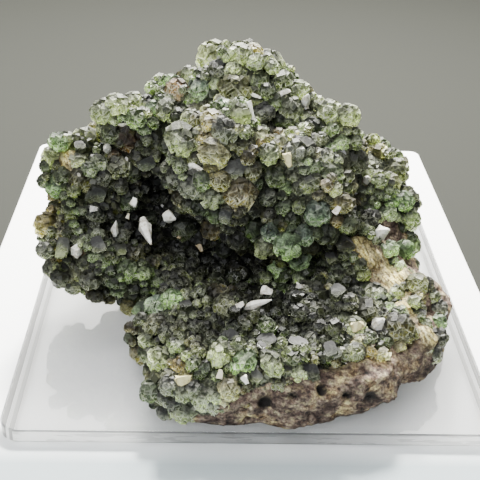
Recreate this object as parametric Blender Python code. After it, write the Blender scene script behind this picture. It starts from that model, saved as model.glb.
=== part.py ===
"""A green fluorite specimen: a brown matrix rock, its crust of grown-together
fluorite crystals, the white calcite points standing on the crust, and the clear
acrylic display base that the stone rests on. Metres, +Z up, the viewer's side
at -Y. The origin is the middle of the base's underside."""

import math
import random

import bmesh
import bpy
from mathutils import Matrix, Vector, noise

MM = 0.001

# Display base
BASE_SIDE = 100 * MM
BASE_THICKNESS = 3 * MM
BASE_CORNER_RADIUS = 4 * MM
BASE_EDGE_CHAMFER = 0.25 * MM
CORNER_SEGMENTS = 8

# Gaps that touching pieces keep
REST_GAP = 0.3 * MM
CRUST_GAP = 0.4 * MM
CALCITE_GAP = 0.3 * MM

# Rock body
FUSE_SIZE = 1.6 * MM
FUSE_SMOOTHING = 5
ROCK_TRIANGLES = 1400
BEDDING = Vector((0.18, 0.10, 1.0)).normalized()
BEDDING_STEP = 4.6 * MM
BEDDING_DEPTH = 1.1 * MM
ROUGH_COARSE = (9.0 * MM, 1.3 * MM)
ROUGH_FINE = (3.6 * MM, 0.6 * MM)

# Crust: a skin over the rock, and the crystals that grow out of it
SKIN_THICKNESS = 1.2 * MM
SKIN_TRIANGLES = 3000
CRYSTAL_COUNT = 340
CRYSTAL_SPACING = 4.8 * MM
CRYSTAL_RADIUS = (2.4 * MM, 4.2 * MM)
CRYSTAL_DEPTH = 0.1
CRYSTAL_FUSE_SIZE = 0.5 * MM
CRUST_TRIANGLES = 4650
LOWEST_CRYSTAL = 4.5 * MM
CORNER_CUT = (0.22, 0.30)
ROUND_SHARE = 0.85
LOWEST_OUTWARD = -0.55
BARE_TRIANGLES = 360
BARE_MARGIN = 1.1
GROWTH_SEED = 11

# Lumps of the rock, in millimetres above the base: centre x, y, z, half-sizes x, y, z
UPPER_MASS = (
    (-1, 16, 27, 20, 18, 17),
    (-3, 17, 46.5, 9, 9, 8),
    (3.5, 16, 42.5, 8.5, 9, 8.5),
    (-16, 14, 41.5, 7.5, 8, 7),
    (-29, 9, 38.5, 5.5, 6.5, 5.5),
    (-23, 11, 34, 8, 8, 8),
    (14.5, 11, 38, 6.5, 7, 6.5),
    (20, 7, 36, 5, 6, 5),
    (-9, -4, 33, 8, 9, 9),
    (-4, -8, 29, 7, 7, 7),
    (-6, -1, 39, 9, 9, 8),
    (11, 0, 32, 10, 10, 9),
    (14, -6, 26, 8, 7, 7),
)
LEFT_LOBE = (
    (-40, 4, 31.5, 5, 6, 5.5),
    (-36, 3, 26, 8, 9, 9),
    (-40, -5, 17, 6, 8, 6.5),
    (-33.5, -9, 13.5, 7, 8, 7),
    (-28.5, -10, 11, 6, 7, 6),
    (-30, 7, 22, 7, 9, 9),
)
RIGHT_LOBE = (
    (29, 17, 24, 8, 9, 7),
    (31, 12, 18, 7, 8, 8),
    (31, 5, 14, 7, 8, 8),
    (32.5, -3, 9, 8, 8, 8),
    (23, 14, 20, 10, 10, 10),
)
FRONT_LOBE = (
    (-17, -26, 7, 7, 7, 7),
    (-13, -39, 4, 9, 8.5, 7),
    (-4, -41.5, 4, 9, 8, 7),
    (8, -41, 4.5, 10, 8.5, 8),
    (20, -38, 5.5, 10, 9, 7),
    (31, -28, 6.5, 11, 11, 7.5),
    (36, -15, 7.5, 10, 11, 7.5),
    (-10, -24, 7, 9, 8, 7),
    (0, -30, 6, 11, 9, 9),
    (14, -26, 7, 12, 9, 9),
)
CAVITY_FLOOR = (
    (-19, -10, 5, 7, 8, 6),
    (-14, -2, 4, 10, 10, 7),
    (-3, -12, 3, 14, 10, 6),
    (13, -10, 6, 12, 10, 7),
    (24, -4, 11, 9, 10, 8),
)
CORE = (
    (1, 16, 14, 24, 20, 13),
    (-14, 14, 14, 15, 14, 11),
    (6, 27, 16, 20, 12, 14),
    (-5, 19, 6, 22, 16, 7),
    (12, 7, 6, 20, 16, 6),
)

# Bare rock, where no crust grows: the front right rim, the undersides and the back
BARE_ZONES = (
    (-7, -52, -1, 9, 7, 7),
    (3, -51, 0, 10, 8, 8),
    (14, -49, 2, 10, 9, 9),
    (25, -45, 3, 10, 10, 10),
    (35, -39, 5, 10, 10, 10),
    (43, -28, 8, 10, 11, 10),
    (45, -15, 10, 10, 10, 11),
    (40, -6, 12, 9, 9, 9),
    (34, 0, 18, 7, 6, 7),
    (-36, -4, 3, 16, 18, 8),
    (0, 44, 8, 42, 14, 24),
    (28, 40, 16, 14, 10, 12),
)

# Crystals that stand out, in millimetres above the base: x, y, z, radius
LARGE_CRYSTALS = (
    (7, -13, 23, 5.6),
    (14, -11, 29, 3.6),
    (11, -12, 20, 4.2),
    (-9, -13, 36, 4.0),
    (-12, -12, 31, 3.6),
    (-4, -15, 30, 3.8),
    (-5, 13, 54.5, 4.2),
    (2, 13, 53.5, 4.0),
    (23, 4, 40, 4.2),
    (-30, 6, 43.5, 4.0),
    (-43, 2, 36, 3.6),
    (-47, 1, 30, 3.4),
    (-4, -41, 12, 5.0),
    (-14, -44, 6, 4.4),
    (29, -32, 13.5, 3.4),
)

# White calcite points: x, y, z of the foot, then the tip's lean in x, y, z, length, width
CALCITES = (
    (-26, 5.5, 41, -0.7, -0.6, 0.3, 6.5, 2.0),
    (-32, 3, 36.5, -0.2, -0.9, 0.4, 4.2, 2.6),
    (-14, -8, 38, 0.6, -0.7, 0.1, 7.0, 2.4),
    (-24, -4, 22, 0.3, -0.8, -0.5, 8.0, 3.6),
    (-19, -1, 22, 0.5, -0.8, 0.2, 5.0, 3.6),
    (-30, -9, 21, 0.1, -0.5, 0.9, 7.5, 2.2),
    (-38, -13, 19, 0.1, -0.8, 0.5, 4.6, 3.2),
    (30, -2.5, 19, 0.3, -0.7, 0.6, 6.0, 3.6),
    (-1, -28, 15, 0.8, -0.3, 0.5, 7.5, 2.2),
    (25.5, -31, 12.5, 0.3, -0.5, 0.8, 5.2, 3.4),
    (12, 11, 45, 0.1, -0.6, 0.7, 6.0, 2.8),
    (28, 9, 27, -0.1, -0.8, 0.6, 5.0, 2.4),
)


def clear_scene():
    for obj in list(bpy.data.objects):
        bpy.data.objects.remove(obj)


def material(name, colour, roughness, transmission=0.0, ior=1.5):
    made = bpy.data.materials.new(name)
    made.use_nodes = True
    shader = made.node_tree.nodes["Principled BSDF"]
    shader.inputs["Base Color"].default_value = (*colour, 1.0)
    shader.inputs["Roughness"].default_value = roughness
    shader.inputs["Metallic"].default_value = 0.0
    shader.inputs["Transmission Weight"].default_value = transmission
    shader.inputs["IOR"].default_value = ior
    return made


def object_from(name, bm, finish=None):
    mesh = bpy.data.meshes.new(name)
    bm.to_mesh(mesh)
    bm.free()
    obj = bpy.data.objects.new(name, mesh)
    bpy.context.scene.collection.objects.link(obj)
    if finish is not None:
        mesh.materials.append(finish)
    return obj


def editable(obj):
    bm = bmesh.new()
    bm.from_mesh(obj.data)
    return bm


def copy_of(obj, name):
    return object_from(name, editable(obj))


def bake_modifiers(obj):
    """Replaces the object's mesh with what its modifiers make of it."""
    bpy.context.view_layer.update()
    graph = bpy.context.evaluated_depsgraph_get()
    mesh = bpy.data.meshes.new_from_object(obj.evaluated_get(graph))
    obj.modifiers.clear()
    obj.data = mesh


def boolean(obj, other, operation, self_overlap=False):
    step = obj.modifiers.new(operation, "BOOLEAN")
    step.operation = operation
    step.object = other
    step.use_self = self_overlap
    bake_modifiers(obj)
    bpy.data.objects.remove(other)


def box(name, low, high):
    bm = bmesh.new()
    bmesh.ops.create_cube(bm, size=1.0)
    size = [b - a for a, b in zip(low, high)]
    middle = [(a + b) / 2 for a, b in zip(low, high)]
    bmesh.ops.scale(bm, vec=size, verts=bm.verts)
    bmesh.ops.translate(bm, vec=middle, verts=bm.verts)
    return object_from(name, bm)


def on_base(x, y, z):
    """A place given in millimetres above the display base."""
    return Vector((x * MM, y * MM, z * MM + BASE_THICKNESS))


def display_base():
    bm = bmesh.new()
    bmesh.ops.create_cube(bm, size=1.0)
    bmesh.ops.scale(bm, vec=(BASE_SIDE, BASE_SIDE, BASE_THICKNESS), verts=bm.verts)
    bmesh.ops.translate(bm, vec=(0, 0, BASE_THICKNESS / 2), verts=bm.verts)
    upright = [e for e in bm.edges if abs(e.verts[0].co.z - e.verts[1].co.z) > MM]
    bmesh.ops.bevel(bm, geom=upright, offset=BASE_CORNER_RADIUS, segments=CORNER_SEGMENTS,
                    profile=0.5, affect="EDGES", material=-1)
    rims = [e for e in bm.edges if abs(e.verts[0].co.z - e.verts[1].co.z) < 0.1 * MM
            and sorted(abs(f.normal.z) > 0.5 for f in e.link_faces) == [False, True]]
    bmesh.ops.bevel(bm, geom=rims, offset=BASE_EDGE_CHAMFER, segments=1,
                    profile=0.5, affect="EDGES", material=-1)
    return object_from("acrylic_base", bm,
                       material("clear_acrylic", (0.95, 0.97, 0.97), 0.03, 1.0, 1.49))


def lumps_mesh(lumps, thicker=0.0):
    bm = bmesh.new()
    for x, y, z, rx, ry, rz in lumps:
        radii = [r * MM + thicker for r in (rx, ry, rz)]
        place = Matrix.Translation(on_base(x, y, z)) @ Matrix.Diagonal((*radii, 1))
        bmesh.ops.create_icosphere(bm, subdivisions=3, radius=1.0, matrix=place)
    return bm


def roughen(bm):
    """Breaks the smooth fused lumps into bedding ledges, humps and pits."""
    moves = []
    for v in bm.verts:
        coarse = noise.noise(v.co / ROUGH_COARSE[0]) * ROUGH_COARSE[1]
        fine = noise.noise(v.co / ROUGH_FINE[0]) * ROUGH_FINE[1]
        level = v.co.dot(BEDDING) / BEDDING_STEP
        ledge = (level - math.floor(level) - 0.5) * BEDDING_DEPTH
        steep = 1.0 - abs(v.normal.dot(BEDDING))
        moves.append(v.normal * (coarse + fine + ledge * steep))
    for v, move in zip(bm.verts, moves):
        v.co += move


def fuse(obj, size):
    """Joins overlapping closed shapes into one surface."""
    step = obj.modifiers.new("fuse", "REMESH")
    step.mode = "VOXEL"
    step.voxel_size = size
    bake_modifiers(obj)


def thin_to(obj, triangles):
    bm = editable(obj)
    bmesh.ops.triangulate(bm, faces=bm.faces)
    share = triangles / len(bm.faces)
    bm.to_mesh(obj.data)
    bm.free()
    step = obj.modifiers.new("thin", "DECIMATE")
    step.ratio = share
    step.use_collapse_triangulate = True
    bake_modifiers(obj)


def fused_form(name, lumps, triangles, thicker=0.0):
    """The lumps as one closed, rough surface of about so many triangles."""
    form = object_from(name, lumps_mesh(lumps, thicker))
    fuse(form, FUSE_SIZE)
    bm = editable(form)
    for _ in range(FUSE_SMOOTHING):
        bmesh.ops.smooth_vert(bm, verts=bm.verts, factor=0.5,
                              use_axis_x=True, use_axis_y=True, use_axis_z=True)
    bm.normal_update()
    roughen(bm)
    bm.to_mesh(form.data)
    bm.free()
    thin_to(form, triangles)
    return form


def swollen(obj, name, gap):
    """A copy whose every face stands the gap outside the original."""
    bm = editable(obj)
    bm.normal_update()
    moves = []
    for v in bm.verts:
        least = min(v.normal.dot(f.normal) for f in v.link_faces)
        moves.append(v.normal * gap / max(least, 0.6))
    for v, move in zip(bm.verts, moves):
        v.co += move
    return object_from(name, bm)


def keep_largest_body(obj):
    """Drops loose crumbs and closed-in hollows, each an island of its own."""
    bm = editable(obj)
    left = set(bm.faces)
    islands = []
    while left:
        front = [left.pop()]
        island = list(front)
        while front:
            near = {g for e in front.pop().edges for g in e.link_faces} & left
            left -= near
            front += near
            island += near
        islands.append(island)
    islands.sort(key=len)
    bmesh.ops.delete(bm, geom=[f for i in islands[:-1] for f in i], context="FACES")
    bm.to_mesh(obj.data)
    bm.free()

def is_bare(point):
    for x, y, z, rx, ry, rz in BARE_ZONES:
        away = (point - on_base(x, y, z)) / MM
        if Vector((away.x / rx, away.y / ry, away.z / rz)).length < BARE_MARGIN:
            return True
    return False


def spots_on(obj, rng, count):
    """Random (point, outward direction) pairs spread evenly over the surface."""
    bm = editable(obj)
    bmesh.ops.triangulate(bm, faces=bm.faces)
    bm.normal_update()
    faces = list(bm.faces)
    weights = [f.calc_area() for f in faces]
    spots = []
    for f in rng.choices(faces, weights, k=count):
        a, b = sorted((rng.random(), rng.random()))
        p, q, r = [v.co for v in f.verts]
        spots.append((p * a + q * (b - a) + r * (1 - b), f.normal.copy()))
    bm.free()
    return spots


def growth_places(skin, rng):
    """(centre, radius) of the crystals: the large ones, then a spread of others."""
    places = [(on_base(x, y, z), r * MM) for x, y, z, r in LARGE_CRYSTALS]
    for point, outward in spots_on(skin, rng, 12000):
        if len(places) >= CRYSTAL_COUNT:
            break
        radius = rng.uniform(*CRYSTAL_RADIUS)
        centre = point - outward * radius * CRYSTAL_DEPTH
        low = point.z < BASE_THICKNESS + LOWEST_CRYSTAL or outward.z < LOWEST_OUTWARD
        beyond = max(abs(centre.x), abs(centre.y)) + radius > BASE_SIDE / 2 - BASE_EDGE_CHAMFER
        if low or beyond or is_bare(point):
            continue
        if all((centre - other).length > CRYSTAL_SPACING for other, _ in places):
            places.append((centre, radius))
    return places


def turned(rng):
    """A random rotation."""
    axis = Vector((rng.gauss(0, 1), rng.gauss(0, 1), rng.gauss(0, 1)))
    return Matrix.Rotation(rng.uniform(0, math.tau), 4, axis)


def grow(skin, places, rng):
    """Fuses fluorite cubes with cut corners, each turned its own way, to the skin."""
    bm = editable(skin)
    for centre, radius in places:
        cube = bmesh.new()
        bmesh.ops.create_cube(cube, size=1.0)
        cut = 0.5 if rng.random() < ROUND_SHARE else rng.uniform(*CORNER_CUT)
        bmesh.ops.bevel(cube, geom=cube.verts, offset=cut, segments=1,
                        profile=0.5, affect="VERTICES", material=-1)
        bmesh.ops.remove_doubles(cube, verts=cube.verts, dist=1e-4)
        reach = max(v.co.length for v in cube.verts)
        place = Matrix.Translation(centre) @ turned(rng) @ Matrix.Scale(radius / reach, 4)
        cube.transform(place)
        mesh = bpy.data.meshes.new("crystal")
        cube.to_mesh(mesh)
        cube.free()
        bm.from_mesh(mesh)
        bpy.data.meshes.remove(mesh)
    bm.to_mesh(skin.data)
    bm.free()
    fuse(skin, CRYSTAL_FUSE_SIZE)
    thin_to(skin, CRUST_TRIANGLES)


def calcite(name, spec):
    """A six-sided dogtooth: a long point, a short foot and a wider waist."""
    x, y, z, lx, ly, lz, length, width = spec
    bm = bmesh.new()
    tall, wide = length * MM, width * MM / 2
    bmesh.ops.create_cone(bm, cap_ends=True, segments=6, radius1=wide, radius2=wide * 0.16,
                          depth=tall * 0.6,
                          matrix=Matrix.Translation((0, 0, tall * 0.5)))
    foot = [v for v in bm.verts if v.co.z < tall * 0.3]
    cap = [f for f in bm.faces if all(v in foot for v in f.verts)]
    sunk = bmesh.ops.extrude_face_region(bm, geom=cap)["geom"]
    bmesh.ops.delete(bm, geom=cap, context="FACES_ONLY")
    low = [g for g in sunk if isinstance(g, bmesh.types.BMVert)]
    bmesh.ops.scale(bm, vec=(0.45, 0.45, 1), verts=low)
    bmesh.ops.translate(bm, vec=(0, 0, -tall * 0.3), verts=low)
    for v in bm.verts:
        if round(math.atan2(v.co.y, v.co.x) / (math.pi / 3)) % 2:
            v.co.x, v.co.y = v.co.x * 0.72, v.co.y * 0.72
    turn = Vector((lx, ly, lz)).to_track_quat("Z", "Y").to_matrix().to_4x4()
    bm.transform(Matrix.Translation(on_base(x, y, z)) @ turn)
    bmesh.ops.recalc_face_normals(bm, faces=bm.faces)
    if bm.calc_volume(signed=True) < 0:
        bmesh.ops.reverse_faces(bm, faces=bm.faces)
    return object_from(name, bm, material(f"white_{name}", (0.86, 0.84, 0.78), 0.5))


def main():
    clear_scene()
    rng = random.Random(GROWTH_SEED)
    display_base()
    form = (*UPPER_MASS, *LEFT_LOBE, *RIGHT_LOBE, *FRONT_LOBE, *CAVITY_FLOOR, *CORE)
    reach = BASE_SIDE
    rest = ((-reach, -reach, -reach), (reach, reach, BASE_THICKNESS + REST_GAP))

    rock = fused_form("matrix_rock", form, ROCK_TRIANGLES)
    hollow = swollen(rock, "hollow", CRUST_GAP)
    boolean(rock, box("rest", *rest), "DIFFERENCE")
    keep_largest_body(rock)
    rock.data.materials.append(material("brown_matrix", (0.22, 0.16, 0.11), 0.85))

    crust = fused_form("fluorite_crust", form, SKIN_TRIANGLES, SKIN_THICKNESS)
    grow(crust, growth_places(crust, rng), rng)
    boolean(crust, fused_form("bare", BARE_ZONES, BARE_TRIANGLES), "DIFFERENCE")
    boolean(crust, copy_of(hollow, "hollow_copy"), "DIFFERENCE")
    boolean(crust, box("rest", *rest), "DIFFERENCE")
    for number, spec in enumerate(CALCITES, 1):
        point = calcite(f"calcite_{number:02d}", spec)
        boolean(point, copy_of(hollow, "hollow_copy"), "DIFFERENCE")
        boolean(crust, swollen(point, "socket", CALCITE_GAP), "DIFFERENCE")
    bpy.data.objects.remove(hollow)
    keep_largest_body(crust)
    crust.data.materials.append(
        material("green_fluorite", (0.36, 0.47, 0.36), 0.15, 0.7, 1.434))


main()
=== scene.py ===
"""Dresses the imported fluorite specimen: crystal balls, grey cubes, white points,
layered matrix rock, clear acrylic base and the stage they stand on."""

import math
import random

import bmesh
import bpy
import numpy as np
from mathutils import Matrix, Vector, noise
from mathutils.bvhtree import BVHTree
from mathutils.geometry import intersect_point_line


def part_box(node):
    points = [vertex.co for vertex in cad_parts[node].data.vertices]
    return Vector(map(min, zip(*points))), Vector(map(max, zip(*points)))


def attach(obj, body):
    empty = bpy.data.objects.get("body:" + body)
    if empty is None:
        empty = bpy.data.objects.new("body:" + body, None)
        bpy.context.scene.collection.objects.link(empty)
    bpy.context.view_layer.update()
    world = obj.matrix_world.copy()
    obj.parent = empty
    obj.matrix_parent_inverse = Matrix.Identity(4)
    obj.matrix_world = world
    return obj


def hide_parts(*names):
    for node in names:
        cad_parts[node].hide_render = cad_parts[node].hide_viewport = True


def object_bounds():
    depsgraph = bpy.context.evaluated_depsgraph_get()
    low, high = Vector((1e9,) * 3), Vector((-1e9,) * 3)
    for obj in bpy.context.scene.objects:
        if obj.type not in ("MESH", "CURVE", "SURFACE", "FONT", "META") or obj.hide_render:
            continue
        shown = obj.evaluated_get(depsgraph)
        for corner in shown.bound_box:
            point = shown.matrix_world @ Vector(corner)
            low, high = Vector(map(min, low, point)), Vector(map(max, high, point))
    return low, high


bl_info = {
    "name": "Fluorite Specimen",
    "version": (1, 0, 0),
    "blender": (4, 5, 0),
    "location": "3D View > Sidebar > Specimen",
    "description": "Builds the crystals, rock, base and stage of a fluorite specimen",
    "category": "Object",
}

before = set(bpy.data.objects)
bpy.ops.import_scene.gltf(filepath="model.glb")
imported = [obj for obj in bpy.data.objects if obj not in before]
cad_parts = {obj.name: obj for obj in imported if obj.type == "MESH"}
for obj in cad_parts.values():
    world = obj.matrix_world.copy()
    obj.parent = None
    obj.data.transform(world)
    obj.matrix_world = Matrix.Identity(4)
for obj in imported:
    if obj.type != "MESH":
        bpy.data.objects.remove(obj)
CAD_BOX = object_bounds()

MM = 0.001
CRUST = "fluorite_crust"
ROCK = "matrix_rock"
BASE = "acrylic_base"
CALCITES = sorted(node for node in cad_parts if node.startswith("calcite"))

PICTURE = 480
FOCAL_PIXELS = 962.0
SENSOR = 36

FLUORITE_IOR = 1.434
ACRYLIC_IOR = 1.49
# Colour of the painted highlights, lines and a band, on the lower rims of the crystal balls
RIM_HIGHLIGHT_COLOUR = (0.97, 1.0, 0.78)

FAR_FROM_EDGE = 9.0
SKY_RAYS = 18
SMALL_BALL = 1.75 * MM
LARGEST_CUBES = 2.4 * MM
GRID = 7 * MM

DRUZE_COUNT = 2600
DRUZE_SEED = 8
CHIP_SEED = 3

FLOOR_SIZE = (0.124, 0.42, 0.03)
FLOOR_MIDDLE = (-0.0025, -0.115, -0.01497)
BACKDROP_LEVEL = -0.06
BACKDROP_WIDTH = 6.0
BACKDROP_PLACE = 1.0
BACKDROP_HEIGHT = 2.0
ROOM_TONE = (0.60, 0.62, 0.60, 1.0)
ROOM_LIGHT = 0.45
LAMP_AIM = Vector((0, 0, 0.02))

# Tries, smallest and largest radius in mm, closeness and depth of each round of growth
ROUNDS = (
    (500, 3.0, 4.1, 0.70, 0.74),
    (7000, 1.8, 2.9, 0.68, 0.80),
    (12000, 1.1, 1.7, 0.68, 0.9),
)

# Place, size in metres, power and colour of each lamp
LAMPS = {
    "window": ((0.04, 0.52, 0.42), (0.9, 0.5), 16.0, (1.0, 0.99, 0.93)),
    "sunny_patch": ((0.01, 0.40, 0.46), (0.10, 0.10), 26.0, (1.0, 0.98, 0.92)),
    "overhead": ((-0.08, 0.08, 0.62), (0.45, 0.45), 5.0, (1.0, 1.0, 0.98)),
    "fill": ((-0.20, -0.45, 0.40), (0.4, 0.4), 4.0, (0.95, 0.97, 1.0)),
}

TINTS = {
    "green": (0.32, 0.46, 0.24), "bright_green": (0.24, 0.38, 0.16), "teal": (0.18, 0.25, 0.18),
    "pale": (0.4, 0.44, 0.26), "clear": (0.28, 0.31, 0.19), "grey": (0.16, 0.165, 0.135),
    "white": (0.86, 0.86, 0.83), "ivory": (0.74, 0.7, 0.56), "straw": (0.62, 0.58, 0.32),
    "coal": (0.035, 0.036, 0.034), "ash": (0.42, 0.42, 0.41), "clay": (0.3, 0.24, 0.14),
    "slate": (0.12, 0.12, 0.115), "smoke": (0.06, 0.062, 0.048), "rust": (0.15, 0.08, 0.035),
    "amber": (0.36, 0.265, 0.09), "cream": (0.55, 0.5, 0.28), "black": (0.015, 0.015, 0.012),
    "olive": (0.205, 0.222, 0.128), "leaf": (0.15, 0.23, 0.08), "honey": (0.28, 0.185, 0.055),
    "lead": (0.115, 0.118, 0.1),
}


# What the photograph shows, by column and row of the picture, with sizes in millimetres

# Column, row, radius and tint of each crystal group, and its kind where it isn't a ball
FEATURES = (
    (200, 86, 2.8, "teal"), (168, 80, 2.4, "bright_green"), (177, 138, 4.1, "clear"),
    (187, 146, 2.6, "pale", "bump"), (225, 130, 3.2, "grey"), (243, 112, 2.4, "pale", "plain"),
    (264, 112, 2.4, "slate"), (293, 110, 3.0, "clear"), (272, 153, 2.8, "pale"),
    (225, 105, 3.2, "teal"), (192, 185, 3.9, "grey"), (212, 200, 2.6, "clear", "bump"),
    (150, 108, 2.6, "green"), (165, 110, 2.8, "clear"), (174, 176, 2.8, "smoke"),
    (285, 246, 3.4, "green"), (267, 250, 2.7, "pale"), (301, 237, 2.4, "teal"),
    (276, 268, 2.6, "green"), (298, 263, 2.8, "green"), (272, 234, 2.2, "teal"),
    (318, 213, 3.4, "teal"), (347, 117, 3.0, "pale", "bump"), (244, 361, 2.9, "bright_green"),
    (220, 350, 2.9, "pale"), (230, 388, 2.5, "cream"), (182, 411, 3.2, "clear"),
    (166, 399, 2.5, "grey"), (202, 397, 2.8, "clear"), (200, 420, 2.4, "cream"),
    (170, 386, 2.3, "grey", "bump"), (183, 393, 2.2, "clear", "bump"), (176, 401, 2.2, "smoke", "bump"),
    (193, 389, 2.0, "grey", "bump"), (214, 397, 2.0, "clear", "bump"), (226, 404, 1.8, "cream", "bump"),
    (212, 408, 2.2, "grey", "bump"), (166, 410, 2.0, "grey", "bump"), (157, 302, 3.0, "teal"),
    (172, 296, 2.4, "bright_green"), (53, 187, 2.6, "bright_green"), (408, 200, 2.8, "bright_green"),
    (401, 253, 2.6, "bright_green"), (57, 139, 2.6, "bright_green"), (240, 52, 2.6, "pale"),
    (218, 68, 2.6, "smoke"), (312, 338, 2.0, "grey"), (272, 362, 2.6, "clear"), (300, 372, 2.4, "pale"),
    (357, 326, 2.4, "pale"), (375, 290, 3.0, "grey"), (235, 171, 2.7, "grey", "cubes"),
    (226, 217, 1.7, "slate", "cubes"), (98, 246, 2.3, "slate", "cubes"),
    (346, 245, 2.5, "slate", "cubes"), (332, 257, 1.8, "slate", "cubes"),
    (338, 291, 2.2, "coal", "cubes"), (331, 350, 2.2, "coal", "cubes"),
    (232, 335, 1.9, "coal", "cubes"), (187, 305, 1.5, "coal", "cubes"),
    (98, 194, 2.4, "smoke", "cubes"), (147, 163, 2.0, "smoke", "cubes"),
    (300, 345, 2.2, "coal", "cubes"), (257, 377, 1.8, "grey", "cubes"), (62, 247, 2.1, "grey", "cubes"),
    (424, 287, 2.0, "grey"), (434, 296, 2.2, "clear"), (441, 308, 2.4, "grey"),
    (436, 322, 2.0, "green"), (440, 338, 2.2, "smoke"), (436, 354, 2.0, "grey"),
    (415, 300, 1.6, "clear"), (428, 345, 1.6, "clear"), (352, 330, 1.7, "cream"),
    (360, 340, 1.9, "cream"), (371, 349, 1.6, "amber"), (384, 353, 1.6, "cream"),
    (398, 349, 1.4, "cream"), (345, 318, 1.6, "clear"), (52, 268, 2.2, "grey", "bump"),
    (60, 278, 2.2, "smoke", "bump"), (74, 284, 2.2, "grey", "bump"), (46, 250, 2.2, "grey", "bump"),
    (104, 112, 2.8, "clear", "bump"), (118, 106, 2.6, "pale", "bump"), (134, 104, 2.6, "clear", "bump"),
    (147, 104, 2.0, "grey", "bump"), (190, 76, 2.4, "clear", "bump"), (66, 140, 2.0, "clear", "bump"),
    (120, 250, 1.7, "grey", "cubes"), (266, 341, 2.0, "coal", "cubes"),
    (312, 372, 1.8, "coal", "cubes"),
)

# Column, row, reach and tint of each patch. Amber, rust and clay patches are stains; the black patches
# and most smoke patches are painted shade in the recesses and on the shaded front lobe; the others are
# the crystals' own colours.
STAINS_AND_SHADE = (
    (201, 130, 4.2, "amber"), (237, 199, 4.0, "rust"), (281, 127, 3.4, "rust"), (175, 84, 3.0, "rust"),
    (178, 366, 4.0, "amber"), (116, 155, 3.5, "rust"), (215, 188, 3.0, "amber"),
    (240, 190, 3.2, "amber"), (128, 147, 3.2, "rust"), (60, 152, 2.6, "amber"),
    (345, 215, 4.0, "amber"), (252, 400, 3.0, "amber"), (262, 140, 3.4, "amber"),
    (330, 190, 4.0, "clay"), (355, 200, 3.5, "clay"), (335, 300, 7.0, "smoke"),
    (365, 325, 6.0, "smoke"), (350, 285, 5.0, "smoke"), (268, 122, 3.6, "smoke"),
    (322, 140, 4.5, "smoke"), (300, 150, 4.0, "smoke"), (150, 190, 8.5, "black"),
    (160, 207, 9.0, "black"), (135, 232, 7.0, "black"), (230, 245, 7.0, "black"),
    (250, 262, 8.0, "black"), (215, 262, 8.0, "black"), (323, 272, 6.0, "black"),
    (288, 290, 7.0, "black"), (235, 290, 9.0, "black"), (262, 305, 8.0, "black"),
    (225, 315, 6.0, "black"), (290, 315, 6.0, "black"), (388, 325, 5.5, "black"),
    (366, 216, 4.5, "black"), (380, 312, 5.0, "black"), (195, 255, 7.0, "black"),
    (175, 245, 7.0, "black"), (312, 300, 5.0, "black"), (110, 175, 7.0, "smoke"),
    (105, 220, 8.0, "smoke"), (175, 280, 7.0, "smoke"), (310, 322, 8.0, "smoke"),
    (205, 330, 7.0, "smoke"), (190, 215, 7.0, "smoke"), (250, 210, 6.0, "smoke"),
    (118, 178, 4.0, "black"), (350, 320, 6.0, "smoke"), (90, 270, 6.0, "smoke"),
    (160, 325, 5.0, "smoke"), (270, 205, 5.0, "smoke"), (250, 75, 4.5, "smoke"),
    (230, 70, 4.5, "smoke"), (240, 55, 5.0, "pale"), (285, 100, 4.0, "pale"), (345, 115, 5.0, "pale"),
    (305, 95, 3.5, "pale"), (240, 390, 2.4, "amber"), (262, 386, 2.6, "cream"),
    (290, 382, 2.6, "amber"), (318, 378, 2.6, "cream"), (340, 366, 2.6, "amber"),
    (268, 65, 4.0, "clear"), (230, 355, 4.0, "pale"), (272, 375, 4.0, "clear"),
    (300, 373, 3.5, "clear"), (400, 205, 5.0, "bright_green"), (395, 250, 4.5, "green"),
    (190, 402, 4.5, "cream"), (120, 100, 4.0, "pale"), (50, 185, 4.0, "bright_green"),
    (48, 160, 3.0, "pale"), (370, 180, 5.0, "clear"), (385, 170, 5.0, "pale"), (395, 225, 5.0, "clear"),
    (145, 412, 3.5, "pale"), (345, 165, 4.0, "clear"), (330, 160, 4.0, "grey"),
    (150, 300, 5.0, "green"), (160, 380, 4.0, "grey"), (348, 155, 3.0, "rust"),
)

# Column, row, length, width, lean in degrees and tint of each calcite chip
CHIPS = (
    (134, 202, 1.7, 1.3, 70, "white"), (94, 209, 1.6, 1.1, 0, "ash"),
    (251, 110, 3.6, 0.8, -75, "white"), (337, 210, 1.8, 1.2, 50, "white"),
    (267, 291, 2.2, 1.5, -15, "white"), (220, 374, 1.6, 1.0, 80, "ivory"),
    (184, 380, 3.0, 1.7, 10, "straw"), (288, 160, 2.8, 1.5, -75, "straw"),
    (285, 92, 2.2, 1.0, 20, "white"), (343, 114, 1.9, 1.3, -15, "ash"),
    (305, 102, 2.8, 1.3, -75, "white"), (126, 160, 1.1, 0.8, 60, "ash"),
    (245, 380, 1.6, 1.0, -60, "white"), (300, 286, 1.4, 0.9, -10, "ash"),
    (256, 96, 2.2, 0.7, -20, "white"), (357, 326, 2.4, 1.7, 20, "straw"),
    (128, 216, 1.1, 0.7, 70, "ivory"), (180, 236, 1.2, 0.8, 60, "clay"),
    (200, 248, 1.8, 0.9, -60, "clay"), (322, 220, 1.2, 0.8, 30, "white"),
    (240, 305, 1.6, 1.0, 28, "white"),
)

# Column, row and reach of each notch in the outline
SUNK = (
    (352, 139, 7.5), (360, 143, 8.0), (370, 146, 8.0), (381, 149, 8.0), (392, 156, 6.0), (38, 165, 5.5),
    (38, 178, 5.5), (44, 200, 3.5), (38, 245, 5.0), (290, 80, 5.0), (202, 58, 4.0), (430, 366, 4.0),
)

# Column, row and reach of each hole in the rock
PITS = (
    (371, 396, 2.2), (265, 399, 1.6), (322, 385, 1.4), (292, 392, 1.2), (346, 392, 1.2),
)

# Column, row and reach of the tan ridge, which has no crystals
RIDGE = (
    (361, 240, 2.4), (372, 250, 3.0), (384, 262, 3.4), (396, 276, 3.4), (406, 291, 3.0),
    (414, 305, 1.9), (420, 320, 1.4), (424, 336, 1.2), (62, 151, 3.0),
)

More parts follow.
